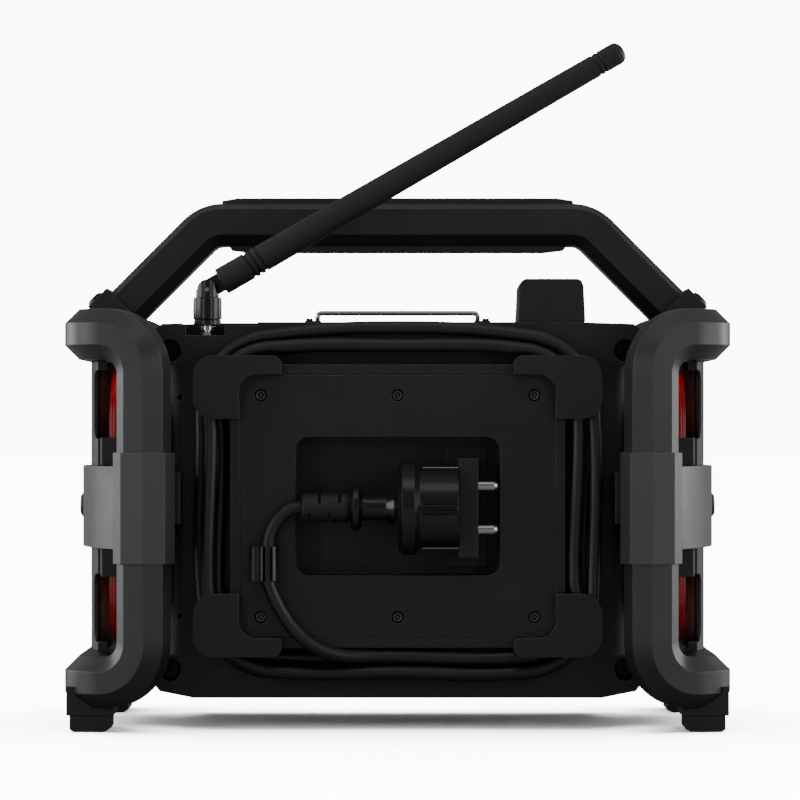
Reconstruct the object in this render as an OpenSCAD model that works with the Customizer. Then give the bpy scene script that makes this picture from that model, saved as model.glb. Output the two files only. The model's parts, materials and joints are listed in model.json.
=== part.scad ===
// Jobsite radio with side guards, carrying handle, jointed aerial and rear cord storage.
// Millimetres. +Z is up, the front faces -Y, the rear with the cord faces +Y.
// The origin is on the ground, under the middle of the radio.

/* [Housing] */
// Width of the main housing
housing_w = 215; // [200:1:230]
// Depth of the main housing from its front face to its rear face
housing_d = 108; // [100:1:120]
// Height of the main housing
housing_h = 165; // [150:1:180]
// Height of the housing's underside above the ground
housing_z = 13.4; // [10:0.2:20]
// Wall of the moulded housing
wall = 3; // [2:0.5:4]
// Rounding of the housing's upright edges
edge_r = 15; // [8:1:20]

/* [Side guards] */
// Distance of the guard's straight runs from the middle plane
run_x = 135; // [125:1:145]
// Distance of the guard's upright bars in front of and behind the middle
bar_y = 80; // [76:1:90]
// Height of the middle of the guards, the plug and the side bands
mid_z = 97.2; // [95:0.1:105]
// Height between the middles of the top run and the bottom run
guard_h = 151; // [140:1:160]
// Thickness of the guard tube, seen from above
guard_u = 20.8; // [18:0.2:24]
// Thickness of the guard tube, seen from the side
guard_v = 22; // [18:0.2:24]
// Corner chamfer of the guard tube
guard_c = 6.2; // [5:0.2:8]
// Turn of the guard tube towards the radio before it bends to the upright bar
guard_turn = 67.5; // [50:0.5:70]
// Radius of that turn at the middle of the tube
turn_r = 15; // [14:0.5:22]
// Radius of the bend between a run and a bar
bend_r = 17.4; // [16:0.2:26]
// Height of the sleeve on each upright bar
sleeve_h = 48; // [40:1:60]
// Wall of the sleeve
sleeve_t = 1.5; // [1.2:0.1:3]
// Height of the side band
band_h = 36; // [28:1:44]
// Thickness of the side band
band_t = 3.4; // [2.4:0.2:5]

/* [Handle] */
// Height of the middle of the handle beam above the ground
beam_z = 223.4; // [220:0.2:240]
// Thickness of the handle beam
beam_t = 19; // [16:0.2:22]
// Depth of the handle beam, front to back
beam_d = 26; // [20:1:32]
// Bend radius at the middle of the handle beam
beam_r = 16; // [14:1:24]

/* [Rear cover and cord storage] */
// Height of the middle of the core and the rear cover
core_mid = 97.8; // [95:0.1:105]
// Half width of the core that the cord is wound on
core_x = 73; // [68:1:78]
// Half height of the core
core_z = 61.7; // [56:0.1:66]
// Depth of the winding channel
channel_d = 12; // [11.8:0.1:14]
// Rim left around the rear cover
rim = 4.4; // [3:0.1:6]
// Diameter of the power cord
cord_d = 6; // [5:0.2:6]
// Length of the plug pocket
pocket_l = 89; // [84:1:96]
// Height of the plug pocket
pocket_h = 60.4; // [54:0.2:70]
// Depth of the plug pocket
pocket_d = 17.5; // [17.2:0.1:24]

/* [Aerial] */
// Distance of the aerial from the middle plane
aerial_x = 83.8; // [80:0.1:88]
// Height of the aerial's tilt pivot
aerial_z = 192.8; // [190:0.2:200]
// Length of the aerial from its pivot to its tip
aerial_l = 211.5; // [180:0.5:230]
// Diameter of the aerial rod at its foot
aerial_d = 12.2; // [10:0.2:13]
// Angle of the aerial above the horizontal at rest
aerial_tilt = 30; // [10:0.2:80]

/* [Speakers] */
// Outer radius of the red trim ring
ring_r = 58; // [50:1:62]
// Outer radius of the speaker cone's roll
cone_r = 48; // [40:1:52]

/* [Front controls] */
// Diameter of the two knobs
knob_d = 32; // [26:1:38]
// Travel of a push button
button_travel = 1.2; // [0.8:0.1:1.5]
// Length of a push button
button_w = 14; // [10:1:16]

/* [Hidden] */
fit = 0.3;              // gap between neighbouring pieces
touch = 0.15;           // gap where a piece is seated
join = 0.02;            // a bend is this much slimmer, and runs a little into its neighbours
housing_top = housing_z + housing_h;
rear_y = housing_d / 2;
front_y = -housing_d / 2;
seam_y = -rear_y + 24;
lug_h = 19;             // height of the square corner lugs
lug_w = 18;
top_z = mid_z + guard_h / 2;
low_z = mid_z - guard_h / 2;
run_half = bar_y - turn_r * sin(guard_turn) - bend_r * cos(guard_turn);
bar_x = run_x - turn_r * (1 - cos(guard_turn)) - bend_r * sin(guard_turn);
pod_x = run_x - guard_u / 2 - 3.4;
cover_y = rear_y + channel_d;
plug_y = cover_y + cord_d / 2 + 0.5;
cord_r = cord_d / 2;
body_black = [0.07, 0.07, 0.075];
soft_black = [0.1, 0.1, 0.1];
guard_grey = [0.16, 0.16, 0.17];
steel = [0.8, 0.8, 0.82];
signal_red = [0.75, 0.04, 0.04];

// ---------- outlines ----------

// Octagon with straight sides, w along x and h along y
module octagon(w, h, c) {
  polygon([
    [w / 2, c - h / 2], [w / 2, h / 2 - c], [w / 2 - c, h / 2], [c - w / 2, h / 2],
    [-w / 2, h / 2 - c], [-w / 2, c - h / 2], [c - w / 2, -h / 2], [w / 2 - c, -h / 2]
  ]);
}

// Rectangle with rounded corners, centred
module round_rect(w, h, r) {
  translate([r - w / 2, -h / 2]) square([w - 2 * r, h]);
  translate([-w / 2, r - h / 2]) square([w, h - 2 * r]);
  for (sx = [-1, 1], sz = [-1, 1])
    translate([sx * (w / 2 - r), sz * (h / 2 - r)]) circle(r = r, $fn = 48);
}

// Stands an outline drawn in x and z upright, and gives it depth from y0 to y1
module upright(y0, y1) {
  translate([0, y1, 0]) rotate([90, 0, 0]) linear_extrude(y1 - y0) children();
}

// Cylinder along y from y0 to y1
module rod_y(r, y0, y1) {
  translate([0, y0, 0]) rotate([-90, 0, 0]) cylinder(r = r, h = y1 - y0, $fn = 48);
}

// Cylinder along x from x0 to x1
module rod_x(r, x0, x1) {
  translate([x0, 0, 0]) rotate([0, 90, 0]) cylinder(r = r, h = x1 - x0, $fn = 48);
}

// Draws its children on the +X side, or mirrored on the -X side
module on_side(side) {
  if (side > 0) children();
  else mirror([1, 0, 0]) children();
}

module both_sides() {
  children();
  mirror([1, 0, 0]) children();
}

// ---------- main housing ----------

// Seen from above: upright edges rounded with edge_r, shrunk by inset
module plan_outline(inset) {
  round_rect(housing_w - 2 * inset, housing_d - 2 * inset, edge_r - inset);
}

// Seen from behind: the underside rises towards both sides
module face_outline(inset) {
  half = housing_w / 2 - inset;
  low = housing_z + inset;
  high = housing_top - inset;
  polygon([
    [-half + 18, low], [half - 18, low], [half - 3, low + 3], [half, low + 7],
    [half, high - 4], [half - 4, high - 0.8], [half - 30, high],
    [-half + 30, high], [-half + 4, high - 0.8], [-half, high - 4],
    [-half, low + 7], [-half + 3, low + 3]
  ]);
}

module housing_solid(inset) {
  intersection() {
    translate([0, 0, housing_z - 1]) linear_extrude(housing_h + 2) plan_outline(inset);
    upright(-rear_y - 1, rear_y + 1) face_outline(inset);
  }
}

// Square lugs that carry the housing screws at the four rear corners
module corner_lugs() {
  for (top = [0, 1])
    both_sides()
      intersection() {
        upright(rear_y - 16, rear_y) face_outline(0);
        translate([housing_w / 2 - lug_w, rear_y - 17, top ? housing_top - lug_h : housing_z - 1])
          cube([lug_w + 1, 17, lug_h + 1]);
      }
}

screw_x = housing_w / 2 - 7.5;
screw_z = housing_h / 2 - 12.5;
housing_mid = housing_z + housing_h / 2;

module at_housing_screws() {
  for (sx = [-1, 1], sz = [-1, 1])
    translate([sx * screw_x, 0, housing_mid + sz * screw_z]) children();
}

// Pocket at the rear top edge where the aerial stands
aerial_y = rear_y - 8;
aerial_floor = housing_top - 5.8;

module aerial_pocket() {
  translate([aerial_x - 22.5, rear_y - 16, housing_top - 1.3]) cube([33.5, 17, 20]);
  translate([aerial_x - 8, rear_y - 16, aerial_floor]) cube([17, 17, 20]);
}

module rear_housing() {
  color(body_black)
    difference() {
      union() {
        difference() {
          housing_solid(0);
          housing_solid(wall);
          translate([-housing_w, -rear_y - 1, 0]) cube([2 * housing_w, seam_y + rear_y + 1, 300]);
        }
        intersection() {
          corner_lugs();
          translate([-housing_w, seam_y, 0]) cube([2 * housing_w, 200, 300]);
        }
        intersection() {
          housing_solid(1);
          translate([aerial_x - 25.5, rear_y - 19, aerial_floor - 3]) cube([39.5, 18, 20]);
        }
        upright(rear_y - 1, cover_y) core_ring();
      }
      aerial_pocket();
      translate([aerial_x, aerial_y, aerial_floor - 8]) cylinder(r = 3.2, h = 10, $fn = 48);
      upright(cover_back - touch, cover_y + 1)
        translate([0, core_mid]) round_rect(2 * (core_x - rim), 2 * (core_z - rim), 14);
      upright(rear_y - 8, cover_y + 1) pocket_outline(3);
      at_cover_screws() rod_y(1.25, cover_back - 4, cover_y);
      at_housing_screws() rod_y(5, rear_y - 11, rear_y + 1);
      at_housing_screws() rod_y(1.7, rear_y - 17, rear_y + 1);
      for (z = [mid_z - 48, mid_z + 48])
        translate([housing_w / 2 - 12, 0, z]) rod_y(1.1, rear_y - 8, rear_y + 1);
      for (sx = [-1, 1])
        translate([sx * (housing_w / 2 - 12), 0, mid_z]) rod_x(3.2, -30, 30);
    }
}

// Raised wall that the cord is wound on
module core_ring() {
  translate([0, core_mid]) round_rect(2 * core_x, 2 * core_z, 18);
}

module front_housing() {
  color(body_black)
    difference() {
      union() {
        difference() {
          housing_solid(0);
          housing_solid(wall);
          translate([-housing_w, seam_y - touch, 0]) cube([2 * housing_w, 200, 300]);
        }
        at_housing_screws() rod_y(3.8, -rear_y + wall - 0.5, rear_y - 16 - touch);
      }
      at_housing_screws() rod_y(1.6, rear_y - 28, rear_y - 15);
      upright(-rear_y - 1, -rear_y + wall + 1)
        translate([0, mid_z]) round_rect(panel_w + 2 * touch, panel_h + 2 * touch, 8);
    }
}

module housing_screws() {
  color(steel)
    at_housing_screws() {
      rod_y(1.55, rear_y - 26, rear_y - 11);
      difference() {
        rod_y(3.6, rear_y - 11, rear_y - 8);
        rod_y(1.4, rear_y - 10, rear_y - 7);
      }
    }
}

// ---------- rear cover ----------

cover_x = core_x - rim - touch;
cover_z = core_z - rim - touch;
cover_back = cover_y - 7;
cover_screw_x = cover_x - 8.8;
cover_screw_z = cover_z - 8.8;

module at_cover_screws() {
  for (x = [-cover_screw_x, 0, cover_screw_x], sz = [-1, 1])
    translate([x, 0, core_mid + sz * cover_screw_z]) children();
}

module pocket_outline(grow) {
  translate([0, core_mid]) round_rect(pocket_l + 2 * grow, pocket_h + 2 * grow, 6 + grow);
}

module rear_cover() {
  color(body_black)
    difference() {
      union() {
        upright(cover_y - 3, cover_y) translate([0, core_mid]) round_rect(2 * cover_x, 2 * cover_z, 13.8);
        upright(cover_y - pocket_d - 2.5, cover_y - 1) pocket_outline(2.5);
        at_cover_screws() rod_y(5, cover_back, cover_y - 1);
        upright(cover_back, cover_y - 1)
          difference() {
            translate([0, core_mid]) round_rect(2 * cover_x, 2 * cover_z, 13.8);
            translate([0, core_mid]) round_rect(2 * cover_x - 5, 2 * cover_z - 5, 11.3);
          }
      }
      upright(cover_y - pocket_d, cover_y + 1) pocket_outline(0);
      at_cover_screws() rod_y(2.7, cover_y - 3.4, cover_y + 1);
      at_cover_screws() rod_y(1.3, cover_back - 1, cover_y);
    }
}

module cover_screws() {
  color(steel)
    at_cover_screws() {
      rod_y(1.2, cover_back - 3, cover_y - 3.3);
      difference() {
        rod_y(2.3, cover_y - 3.3, cover_y - 1.2);
        rod_y(1, cover_y - 2.4, cover_y);
      }
    }
}

// ---------- cord cleats ----------

lip_gap = 1.4;                    // from the core's plane to the underside of a lip
lip_t = 4;
lip_x = core_x + 16;              // outer edge of a lip
lip_z = core_z + 3.9;
leg_x = core_x - 4;               // inner edge of the upright leg
leg_z = core_z - 4.4;
lip_end_x = 50.5;
lip_end_z = 38;

// L-shaped lip in the corner of +X and +Z
module lip_outline() {
  foot = 9;                       // rounding at the foot of the upright leg
  difference() {
    union() {
      translate([lip_end_x + 4, leg_z - 9]) square([lip_x - 9 - lip_end_x - 4, lip_z - leg_z + 9]);
      translate([lip_end_x, leg_z - 9]) square([5, lip_z - leg_z + 5]);
      translate([lip_end_x + 4, lip_z - 4]) circle(r = 4, $fn = 48);
      translate([leg_x - 8, lip_end_z]) square([lip_x - foot - leg_x + 8, lip_z - 9 - lip_end_z]);
      translate([leg_x - 8, lip_end_z + foot]) square([lip_x - leg_x + 8, lip_z - 9 - lip_end_z - foot]);
      translate([lip_x - foot, lip_end_z + foot]) circle(r = foot, $fn = 48);
      translate([lip_x - 9, lip_z - 9]) circle(r = 9, $fn = 48);
    }
    translate([0, 0]) square([leg_x - 8, leg_z]);
    translate([0, 0]) square([leg_x, leg_z - 8]);
    translate([leg_x - 8, leg_z - 8]) circle(r = 8, $fn = 48);
  }
}

// Part of the core's rim that carries a lip
module post_outline() {
  intersection() {
    lip_outline();
    round_rect(2 * core_x, 2 * core_z, 18);
  }
}

module cleat(sx, sz) {
  translate([0, 0, core_mid])
    mirror([sx < 0 ? 1 : 0, 0, 0])
      mirror([0, 0, sz < 0 ? 1 : 0]) {
        upright(cover_y + lip_gap, cover_y + lip_gap + lip_t) lip_outline();
        upright(cover_y + touch, cover_y + lip_gap + lip_t) post_outline();
      }
}

module cord_cleats_upper() {
  color(soft_black) for (sx = [-1, 1]) cleat(sx, 1);
}

module cord_cleats_lower() {
  color(soft_black) for (sx = [-1, 1]) cleat(sx, -1);
}

// ---------- power plug, holder, clip and gland ----------

plug_relief_x = 41.7;
plug_end_x = -26.3;
pin_pitch = 19;

// Round body turned about the plug's own axis, from the cord end towards -X
module turned_plug(outline) {
  translate([0, plug_y, mid_z]) rotate([0, -90, 0]) rotate_extrude($fn = 64) polygon(outline);
}

module power_plug() {
  color(soft_black)
    difference() {
      turned_plug([
        [0, -20.4], [8.6, -20.4], [10, -19.2], [10, -17], [8.6, -15.6], [6, -15.4], [5.4, -12],
        [5.6, -5], [8, -1.5], [18.6, 0.4], [20.6, 2], [20.6, 7.4], [18.8, 9], [17.8, 9.4],
        [17.8, -plug_end_x], [0, -plug_end_x]
      ]);
      for (side = [-1, 1])
        translate([plug_end_x - 1, plug_y - 4, mid_z + side * 17.8 - 1]) cube([17, 8, 2]);
      translate([plug_end_x - 1, plug_y + 16.6, mid_z - 2.6]) cube([17, 3, 1]);
      translate([plug_end_x - 1, plug_y + 16.6, mid_z + 1.6]) cube([17, 3, 1]);
      for (side = [-1, 1])
        translate([0, plug_y, mid_z + side * pin_pitch / 2]) rod_x(2.4, plug_end_x - 1, plug_end_x + 14);
    }
}

module plug_pins() {
  color(steel)
    for (side = [-1, 1])
      translate([0, plug_y, mid_z + side * pin_pitch / 2])
        rotate([0, -90, 0])
          rotate_extrude($fn = 32)
            polygon([[0, 13], [2.35, 13], [2.35, 42], [1.6, 43.4], [0, 43.8]]);
}

module plug_earth_strips() {
  color(steel)
    for (side = [-1, 1])
      translate([plug_end_x, plug_y - 3.7, mid_z + side * 17.25 - 0.45]) cube([15.6, 7.4, 0.9]);
}

// Sleeve with staggered slots that lets the cord bend gently
module plug_strain_relief() {
  color(soft_black)
    difference() {
      turned_plug([
        [3.1, -plug_relief_x], [5.4, -plug_relief_x], [6.3, -plug_relief_x + 1.4],
        [6.3, -22.4], [5.8, -20.5], [3.1, -20.5]
      ]);
      for (i = [0:3])
        translate([37.6 - i * 4.4, plug_y - 10, mid_z + (i % 2 == 0 ? -10 : 2.2)]) cube([1.3, 20, 7.8]);
    }
}

// Upright plate with two holes that grips the plug by its pins
holder_x = -35;
holder_t = 8.4;

module plug_holder() {
  color(soft_black)
    difference() {
      union() {
        translate([holder_x, cover_y - pocket_d + touch, mid_z - 21.5]) cube([holder_t, 24, 43]);
        translate([-39.3, cover_y - pocket_d + touch, mid_z - 26.5]) cube([18.7, 1.6, 53]);
      }
      for (side = [-1, 1])
        translate([0, plug_y, mid_z + side * pin_pitch / 2]) rod_x(2.5, holder_x - 1, holder_x + holder_t + 1);
    }
}

clip_x = 56.4;
clip_z = mid_z - 24.3;
clip_h = 15.2;
clip_bore = cord_r + 0.45;
clip_floor = 1.2;                  // from the cover to the cord

// Clip for the free end of the cord: a thin lip on one side, a thick one on the other
module cord_clip() {
  color(soft_black)
    translate([clip_x, cover_y + cord_r + clip_floor, clip_z - clip_h / 2])
      difference() {
        union() {
          cylinder(r = cord_r + 1.9, h = clip_h, $fn = 48);
          translate([5.2, 0, 0]) cylinder(r = 2.8, h = clip_h, $fn = 48);
          translate([-cord_r - 1.9, -cord_r - clip_floor + touch, 0])
            cube([cord_r + 9.9, cord_r + clip_floor - touch, clip_h]);
        }
        translate([0, 0, -1]) cylinder(r = clip_bore, h = clip_h + 2, $fn = 48);
        translate([-2, 0, -1]) cube([4, 10, clip_h + 2]);
        translate([-10, -14 - cord_r - clip_floor + touch, -1]) cube([24, 14, clip_h + 2]);
      }
}

back_y = rear_y + cord_r + 0.4;     // middle of the winding's layer on the housing
layer = cord_d + 0.6;               // from that layer to the one over it
front_layer_y = back_y + layer;
gland_len = 12;

module cord_gland() {
  color(soft_black)
    difference() {
      union() {
        translate([0, back_y, wind_low_z]) rod_x(cord_r + 0.3, -gland_len, 0);
        translate([-gland_len, rear_y, wind_low_z - 2.4]) cube([gland_len - 2, back_y - rear_y, 4.8]);
      }
    }
}

// ---------- cord ----------

wind_x = core_x + 4;                // half width of the innermost turn
wind_z = core_z + 4;                // half height of the innermost turn
wind_r = 24;                        // corner radius of the innermost turn
wind_pitch = 6.7;                   // from one turn to the next beside it
wind_low_z = core_mid - wind_z;
turns_out = 1.25;                   // turns of the layer on the housing
turns_all = 3;                      // turns of the whole winding
loop_rings = 24;
wind_rings = round(turns_all * loop_rings);
wind_bulge = 2.2;                   // how far the free middle of a side stands out

// Distance of a turn from the innermost one, t turns from the gland
function wind_off(t) =
  t < turns_out ? wind_pitch * t
  : t < turns_out + 0.5 ? wind_pitch * turns_out
  : wind_pitch * (turns_all - t);

function ease(u) = u * u * (3 - 2 * u);

function wind_y(t) =
  t < turns_out ? back_y
  : t < turns_out + 0.5 ? back_y + layer * ease((t - turns_out) / 0.5)
  : front_layer_y;

// Rounded rectangle walked from the middle of its lower side towards +X.
// Each quarter has one straight piece, four steps of corner and one straight piece.
sx_len = wind_x - wind_r;
sz_len = wind_z - wind_r;

function quarter(k, r, a, b) =
  k == 0 ? [0, -(b + r)]
  : k == 1 ? [a, -(b + r)]
  : [a + r * sin((k - 1) * 22.5), -b - r * cos((k - 1) * 22.5)];

// Point k of 24 of a turn whose corners have radius r
function loop_point(k, r) =
  k < 6 ? quarter(k, r, sx_len, sz_len)
  : k < 12 ? let (p = quarter(12 - k, r, sx_len, sz_len)) [p[0], -p[1]]
  : k < 18 ? let (p = quarter(k - 12, r, sx_len, sz_len)) [-p[0], -p[1]]
  : let (p = quarter(24 - k, r, sx_len, sz_len)) [-p[0], p[1]];

function bulge_at(k, t) = (k == 6 || k == 12 || k == 18) ? wind_bulge * wind_off(t) / wind_pitch : 0;

function wind_point(i) =
  let (
    t = i / loop_rings,
    k = i % loop_rings,
    p = loop_point(k, wind_r + wind_off(t)),
    g = bulge_at(k, t),
    d = (k == 6) ? [g, 0] : (k == 12) ? [0, g] : (k == 18) ? [-g, 0] : [0, 0]
  ) [p[0] + d[0], wind_y(t), core_mid + p[1] + d[1]];

WIND = [for (i = [0:wind_rings]) wind_point(i)];

// Free end of the cord from the winding through the clip to the plug, chosen by hand
TAIL = [
  [12, 64.6, 32.2], [20, 66.2, 32.4], [28, 68.2, 33.6], [34.6, 69.4, 36.2], [40.4, 69.8, 40],
  [45.4, 70, 45], [49.8, 70.1, 51], [53.2, 70.2, 57.4], [55.6, 70.2, 63.4], [56.4, 70.2, 67],
  [56.4, 70.2, 73], [56.4, 70.2, 79], [55.8, 70.2, 84.4], [53.8, 70.1, 89.4], [50.6, 69.9, 93.6],
  [46.8, 69.6, 96.4]
];

function unit(v) = v / norm(v);

// Direction of a path at point i
function heading(path, i) =
  unit(path[min(i + 1, len(path) - 1)] - path[max(i - 1, 0)]);

// Tube of radius r with a ring of sides corners at each point of the path
module tube(path, r, sides) {
  n = len(path);
  up = [0, 1, 0];
  rings = [for (i = [0:n - 1])
    let (d = heading(path, i), a = unit(cross(up, d)), b = cross(d, a))
      for (s = [0:sides - 1])
        path[i] + r * (a * cos(360 * (s + 0.5) / sides) + b * sin(360 * (s + 0.5) / sides))];
  start = [for (s = [0:sides - 1]) sides - 1 - s];
  finish = [for (s = [0:sides - 1]) (n - 1) * sides + s];
  skin = [for (i = [0:n - 2], s = [0:sides - 1])
    let (p = i * sides + s, q = i * sides + (s + 1) % sides)
      each [[p, q, p + sides], [q, q + sides, p + sides]]];
  polyhedron(points = rings, faces = concat([start], skin, [finish]), convexity = 20);
}

wind_end = WIND[wind_rings];

module cord_winding() {
  color(soft_black) tube(concat([[0.1, back_y, wind_low_z], [7, back_y, wind_low_z]],
    [for (i = [1:wind_rings]) WIND[i]]), cord_r, 6);
}

module cord_tail() {
  color(soft_black)
    tube(concat([wind_end + [0.3, 0, 0], wind_end + [6, 0, 0]], TAIL, [[plug_relief_x + 0.3, plug_y, mid_z]]), cord_r, 8);
}

// Least gap between strands that lie beside or on each other
wind_gap = min([for (i = [0:wind_rings], j = [0:wind_rings])
  if (j > i + 12) norm(WIND[i] - WIND[j]) - cord_d]);
echo(least_gap_in_winding = wind_gap);  // cord_winding

// ---------- side guards ----------

module tube_section(grow) {
  octagon(guard_u + 2 * grow, guard_v + 2 * grow, guard_c + 0.6 * grow);
}

module bend_section(grow) {
  rotate(90) tube_section(grow);
}

module sleeve_outline(grow) {
  t = sleeve_t + grow;
  octagon(guard_u + 2 * t, guard_v + 2 * t, guard_c + 0.6 * t);
}

// Rear top quarter of a guard, from the middle of the top run to the middle of the rear bar
module guard_quarter(grow) {
  translate([run_x, run_half, top_z])
    rotate([90, 0, 0]) linear_extrude(run_half) tube_section(grow);
  translate([run_x - turn_r, run_half, top_z])
    rotate_extrude(angle = guard_turn, $fn = 96) translate([turn_r, 0]) tube_section(grow);
  translate([run_x - turn_r * (1 - cos(guard_turn)), run_half + turn_r * sin(guard_turn), top_z - bend_r])
    rotate([90, 0, 90 + guard_turn])
      rotate([0, 0, -0.1])
        rotate_extrude(angle = 90.2, $fn = 96) translate([bend_r, 0]) bend_section(grow - join);
  translate([bar_x, bar_y, mid_z + touch])
    rotate([0, 0, guard_turn]) linear_extrude(top_z - bend_r - mid_z - touch) tube_section(grow);
}

module guard_upper(side) {
  color(guard_grey)
    on_side(side) {
      guard_quarter(0);
      mirror([0, 1, 0]) guard_quarter(0);
    }
}

module guard_lower(side) {
  color(guard_grey)
    on_side(side)
      translate([0, 0, 2 * mid_z])
        mirror([0, 0, 1]) {
          guard_quarter(0);
          mirror([0, 1, 0]) guard_quarter(0);
        }
}

// Four blocks that tie the sleeves to the housing's corners
arm_h = 22;

module guard_arms() {
  color(soft_black)
    for (sx = [0, 1], sy = [0, 1])
      mirror([sx, 0, 0])
        mirror([0, sy, 0])
          difference() {
            translate([94.6, rear_y - 6, mid_z - arm_h / 2 + 4]) cube([10, bar_y - rear_y - 2, arm_h]);
            translate([0, 0, mid_z - arm_h]) linear_extrude(2 * arm_h) plan_outline(-touch);
            translate([bar_x, bar_y, mid_z - arm_h])
              rotate([0, 0, guard_turn]) linear_extrude(2 * arm_h) sleeve_outline(touch);
          }
}

// Arc-shaped plan of a plate with its outer face at apex, from y0 to y1
module bow_plan(apex, r, t, y0, y1) {
  intersection() {
    difference() {
      translate([apex - r, 0]) circle(r = r, $fn = 360);
      translate([apex - r, 0]) circle(r = r - t, $fn = 360);
    }
    translate([apex - r / 2, y0]) square([r, y1 - y0]);
  }
}

band_apex = run_x + 6.8;
sleeve_edge_x = bar_x + 13.4;
band_half = bar_y - 6;
band_sag = band_apex - sleeve_edge_x;
band_r = (band_half * band_half + band_sag * band_sag) / (2 * band_sag);
bolt_r = 2.5;

module side_band(side) {
  color(guard_grey)
    on_side(side)
      difference() {
        union() {
          translate([0, 0, mid_z - band_h / 2])
            linear_extrude(band_h) bow_plan(band_apex, band_r, band_t, -band_half - 4, band_half + 4);
          for (m = [0, 1])
            mirror([0, m, 0])
              translate([bar_x, bar_y, mid_z - sleeve_h / 2])
                rotate([0, 0, guard_turn])
                  linear_extrude(sleeve_h)
                    sleeve_outline(0);
        }
        for (m = [0, 1])
          mirror([0, m, 0])
            translate([bar_x, bar_y, mid_z - sleeve_h / 2 - 1])
              rotate([0, 0, guard_turn])
                linear_extrude(sleeve_h + 2)
                  octagon(guard_u + 2 * touch, guard_v + 2 * touch, guard_c + touch / 2);
        translate([0, 0, mid_z]) rod_x(bolt_r + 0.1, band_apex - 12, band_apex + 2);
      }
}

module band_bolts() {
  color(soft_black)
    both_sides()
      translate([0, 0, mid_z]) {
        rod_x(bolt_r, band_apex - 10, band_apex + 0.3);
        translate([band_apex + 0.1, 0, 0])
          rotate([0, 90, 0])
            rotate_extrude($fn = 48) polygon([[1.6, 0], [5.3, 0], [5.3, 0.5], [4.2, 1.4], [1.6, 1.4]]);
        rod_x(1.7, band_apex, band_apex + 0.5);
      }
}

// ---------- speaker side ----------

plate_apex = band_apex - band_t - touch;
plate_r = 114;
plate_t = 4;
plate_y0 = -34;
plate_y1 = 34;
plate_z0 = low_z + guard_v / 2 + touch;
plate_z1 = top_z - guard_v / 2 - touch;
notch_y = 13;
skin_x = 4.4;

// Cutter for one notch, reaching the given length along X
module notch(length) {
  h = plate_z1 - mid_z - 30;
  rotate([90, 0, 90])
    linear_extrude(length) {
      translate([6, 0]) square([60, h - 4]);
      translate([0, 6]) square([60, h - 16]);
      translate([6, 6]) circle(r = 6, $fn = 48);
      translate([6, h - 10]) circle(r = 6, $fn = 48);
    }
}

// Bowed plate between the runs, with two notches in its rear edge that leave a thin skin outside
module side_plate(side) {
  color(guard_grey)
    on_side(side)
      difference() {
        translate([0, 0, plate_z0])
          linear_extrude(plate_z1 - plate_z0) bow_plan(plate_apex, plate_r, plate_t, plate_y0, plate_y1);
        for (m = [0, 1])
          translate([0, 0, mid_z])
            mirror([0, 0, m]) {
              translate([plate_apex - 20, notch_y, 30]) notch(20 - skin_x);
              translate([plate_apex - 20, notch_y + 12, 30]) notch(24);
            }
        translate([0, 0, mid_z]) rod_x(bolt_r + 0.1, plate_apex - 8, plate_apex + 4);
      }
  color(guard_grey) on_side(side) plate_ribs();
}

// Short walls above and below the band that close the plate's rear edge towards the speaker
module plate_ribs() {
  edge_x = plate_apex - plate_r + sqrt(plate_r * plate_r - plate_y1 * plate_y1);
  for (m = [0, 1])
    translate([0, 0, mid_z])
      mirror([0, 0, m])
        translate([0, 0, band_h / 2 + 0.4])
          linear_extrude(12)
            polygon([
              [edge_x - plate_t, plate_y1 - 2], [edge_x - 1, plate_y1 - 2], [129.4, 60], [122.8, 60],
              [122.8, 58.4], [edge_x - plate_t, 58.4]
            ]);
}

pod_z0 = low_z + 8;
pod_z1 = top_z - 8;

// Speaker box on the side of the housing, open towards the cone
module speaker_pod(side) {
  color(body_black)
    on_side(side)
      difference() {
        union() {
          translate([housing_w / 2 + touch, 0, (pod_z0 + pod_z1) / 2])
            rotate([90, 0, 90])
              linear_extrude(pod_x - housing_w / 2 - touch)
                round_rect(2 * (rear_y - edge_r), pod_z1 - pod_z0, 8);
          translate([housing_w / 2 + touch, 0, mid_z])
            rotate([90, 0, 90]) linear_extrude(pod_x - housing_w / 2 - touch) frame_outline(-1);
          for (sy = [-1, 1], sz = [-1, 1])
            translate([pod_x - 9, sy * 28 - 8, sz > 0 ? top_z - 14 : low_z - 4.4])
              cube([run_x - guard_u / 2 - pod_x + 9 - touch, 16, 18.4]);
        }
        translate([0, 0, mid_z]) rod_x(cone_r + 3, housing_w / 2 + 11.5, pod_x + 1);
        translate([0, 0, mid_z]) rod_x(cone_r + 0.4, housing_w / 2 + 3, pod_x + 1);
        translate([0, 0, mid_z]) rod_x(cone_r - 12, housing_w / 2 - 1, pod_x + 1);
      }
}

// Outline of a speaker's frame, made smaller by the given inset
module frame_outline(inset) {
  round_rect(2 * (ring_r - inset), 2 * (ring_r + 3.2 - inset), 28 - inset);
}

module trim_rings() {
  color(signal_red)
    both_sides()
      translate([pod_x + touch, 0, mid_z])
        rotate([90, 0, 90])
          difference() {
            union() {
              linear_extrude(3) frame_outline(0);
              linear_extrude(4.2) frame_outline(1.2);
              linear_extrude(5) frame_outline(2.8);
            }
            translate([0, 0, -1]) cylinder(r = ring_r - 7, h = 8, $fn = 96);
          }
}

module speaker_cones() {
  color(soft_black)
    both_sides()
      translate([housing_w / 2 + 3 + touch, 0, mid_z])
        rotate([0, 90, 0])
          rotate_extrude($fn = 96)
            polygon([
              [0, 2], [10, 1], [13, 0], [16, 0], [cone_r - 8, 8], [cone_r - 3, 11.5], [cone_r + 2.6, 8.5],
              [cone_r + 2.6, 10], [cone_r - 3, 13.5], [cone_r - 9, 9.8], [14, 2.6], [9, 5], [0, 6.5]
            ]);
}

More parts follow.
